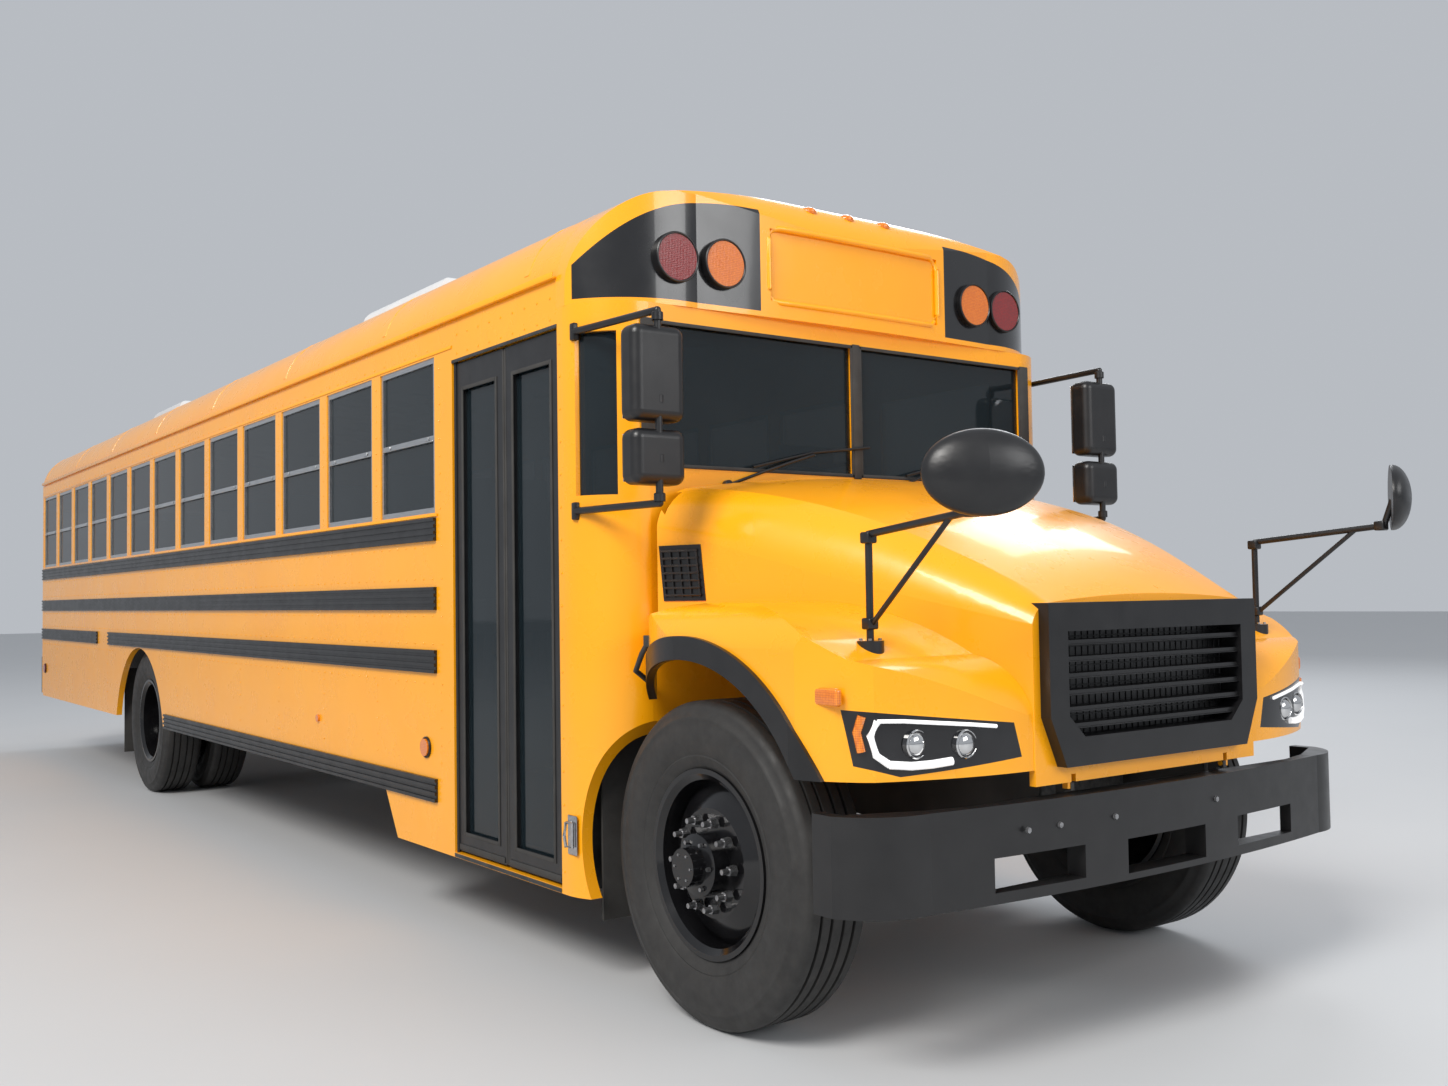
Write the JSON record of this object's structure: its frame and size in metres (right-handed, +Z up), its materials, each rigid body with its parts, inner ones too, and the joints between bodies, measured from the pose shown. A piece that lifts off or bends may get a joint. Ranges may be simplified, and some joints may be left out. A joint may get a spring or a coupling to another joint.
{
  "type": "school bus",
  "caption": "Long-nosed yellow school bus with folding entry doors, tilting hood, rear door, stop arm, black rub rails, roof units and steered front wheels.",
  "frame": {"origin": "on the ground, below the middle of the overall length and width", "axes": "+X forward along the bus, +Y to its left, +Z up"},
  "size_m": [12.32, 2.53, 3.17],
  "materials": {
    "yellow_paint": "gloss",
    "black_trim": "satin",
    "frame_black": "satin",
    "floor_rubber": "ribbed matte",
    "dark_glass": "tinted",
    "window_aluminium": "satin",
    "step_plate": "matte",
    "tyre_rubber": "matte",
    "rim_black": "gloss",
    "bare_iron": "rough",
    "radiator_alloy": "finned",
    "clear_lens": "clear",
    "mirror_black": "satin",
    "bumper_black": "satin",
    "seat_vinyl": "grained",
    "seat_steel": "satin",
    "driver_fabric": "woven",
    "dash_plastic": "matte",
    "amber_lens": "clear",
    "red_lens": "clear",
    "white_cover": "satin",
    "flap_rubber": "matte",
    "sign_red": "satin"
  },
  "bodies": {
    "coach": {"chassis_frame": "frame_black", "floor": "floor_rubber", "wheel_houses": "floor_rubber", "side_wall_left": "yellow_paint", "side_wall_right": "yellow_paint", "window_glass_left": "dark_glass", "window_frames_left": "window_aluminium", "window_glass_right": "dark_glass", "window_frames_right": "window_aluminium", "rub_rails": "black_trim", "roof": "yellow_paint", "rear_wall": "yellow_paint", "rear_glass": "dark_glass", "front_cap": "yellow_paint", "windscreen_frame": "yellow_paint", "windscreen_glass": "dark_glass", "cowl_panel_left": "yellow_paint", "cowl_panel_right": "yellow_paint", "entry_surround": "yellow_paint", "entry_steps": "step_plate", "front_axle": "frame_black", "rear_axle": "frame_black", "engine": "bare_iron", "radiator": "radiator_alloy", "fuel_tank": "frame_black", "side_mirrors": "mirror_black", "front_bumper": "bumper_black", "rear_bumper": "bumper_black", "bench_cushions_left": "seat_vinyl", "bench_cushions_right": "seat_vinyl", "bench_frames": "seat_steel", "driver_seat": "driver_fabric", "driver_base": "seat_steel", "dashboard": "dash_plastic", "amber_lamps": "amber_lens", "red_lamps": "red_lens", "rooftop_units": "white_cover", "mud_flaps": "flap_rubber"},
    "steer_left": {"knuckle_left": "bare_iron"},
    "steer_right": {"knuckle_right": "bare_iron"},
    "wheel_front_left": {"tyre_front_left": "tyre_rubber", "rim_front_left": "rim_black"},
    "wheel_front_right": {"tyre_front_right": "tyre_rubber", "rim_front_right": "rim_black"},
    "wheels_rear_left": {"tyres_rear_left": "tyre_rubber", "rims_rear_left": "rim_black"},
    "wheels_rear_right": {"tyres_rear_right": "tyre_rubber", "rims_rear_right": "rim_black"},
    "hood": {"hood": "yellow_paint", "headlamps": "clear_lens", "arch_trims": "black_trim", "grille": "black_trim", "crossover_mirrors": "mirror_black"},
    "entry_leaf_front": {"door_leaf_front": "black_trim", "door_glass_front": "dark_glass"},
    "entry_leaf_rear": {"door_leaf_rear": "black_trim", "door_glass_rear": "dark_glass"},
    "rear_door": {"exit_door": "yellow_paint", "exit_glass": "dark_glass"},
    "stop_arm": {"stop_arm": "sign_red"}
  },
  "joints": [
    {"name": "steer_left_turn", "type": "hinge", "parent": "coach", "child": "steer_left", "pos_m": [4.9, 0.9, 0.525], "axis": [0, 0, 1], "range_deg": [-40, 40]},
    {"name": "steer_right_turn", "type": "hinge", "parent": "coach", "child": "steer_right", "pos_m": [4.9, -0.9, 0.525], "axis": [0, 0, 1], "range_deg": [-40, 40]},
    {"name": "wheel_front_left_spin", "type": "hinge", "parent": "steer_left", "child": "wheel_front_left", "pos_m": [4.9, 1, 0.525], "axis": [0, 1, 0], "continuous": true},
    {"name": "wheel_front_right_spin", "type": "hinge", "parent": "steer_right", "child": "wheel_front_right", "pos_m": [4.9, -1, 0.525], "axis": [0, 1, 0], "continuous": true},
    {"name": "wheels_rear_left_spin", "type": "hinge", "parent": "coach", "child": "wheels_rear_left", "pos_m": [-2.2, 0.855, 0.525], "axis": [0, 1, 0], "continuous": true},
    {"name": "wheels_rear_right_spin", "type": "hinge", "parent": "coach", "child": "wheels_rear_right", "pos_m": [-2.2, -0.855, 0.525], "axis": [0, 1, 0], "continuous": true},
    {"name": "hood_tilt", "type": "hinge", "parent": "coach", "child": "hood", "pos_m": [5.785, 0, 0.8], "axis": [0, 1, 0], "range_deg": [0, 70]},
    {"name": "entry_front_swing", "type": "hinge", "parent": "coach", "child": "entry_leaf_front", "pos_m": [4.14, -1.205, 1.36], "axis": [0, 0, 1], "range_deg": [0, 90]},
    {"name": "entry_rear_swing", "type": "hinge", "parent": "coach", "child": "entry_leaf_rear", "pos_m": [3.26, -1.205, 1.36], "axis": [0, 0, -1], "range_deg": [0, 90]},
    {"name": "rear_door_swing", "type": "hinge", "parent": "coach", "child": "rear_door", "pos_m": [-6.0883, -0.478, 1.67], "axis": [0, 0, 1], "range_deg": [0, 100]},
    {"name": "stop_arm_swing", "type": "hinge", "parent": "coach", "child": "stop_arm", "pos_m": [3.115, 1.2353, 1.535], "axis": [0, 0, -1], "range_deg": [0, 90]}
  ],
  "couplings": [
    {"joint": "steer_right_turn", "follows": "steer_left_turn", "ratio": 1},
    {"joint": "entry_rear_swing", "follows": "entry_front_swing", "ratio": 1}
  ]
}
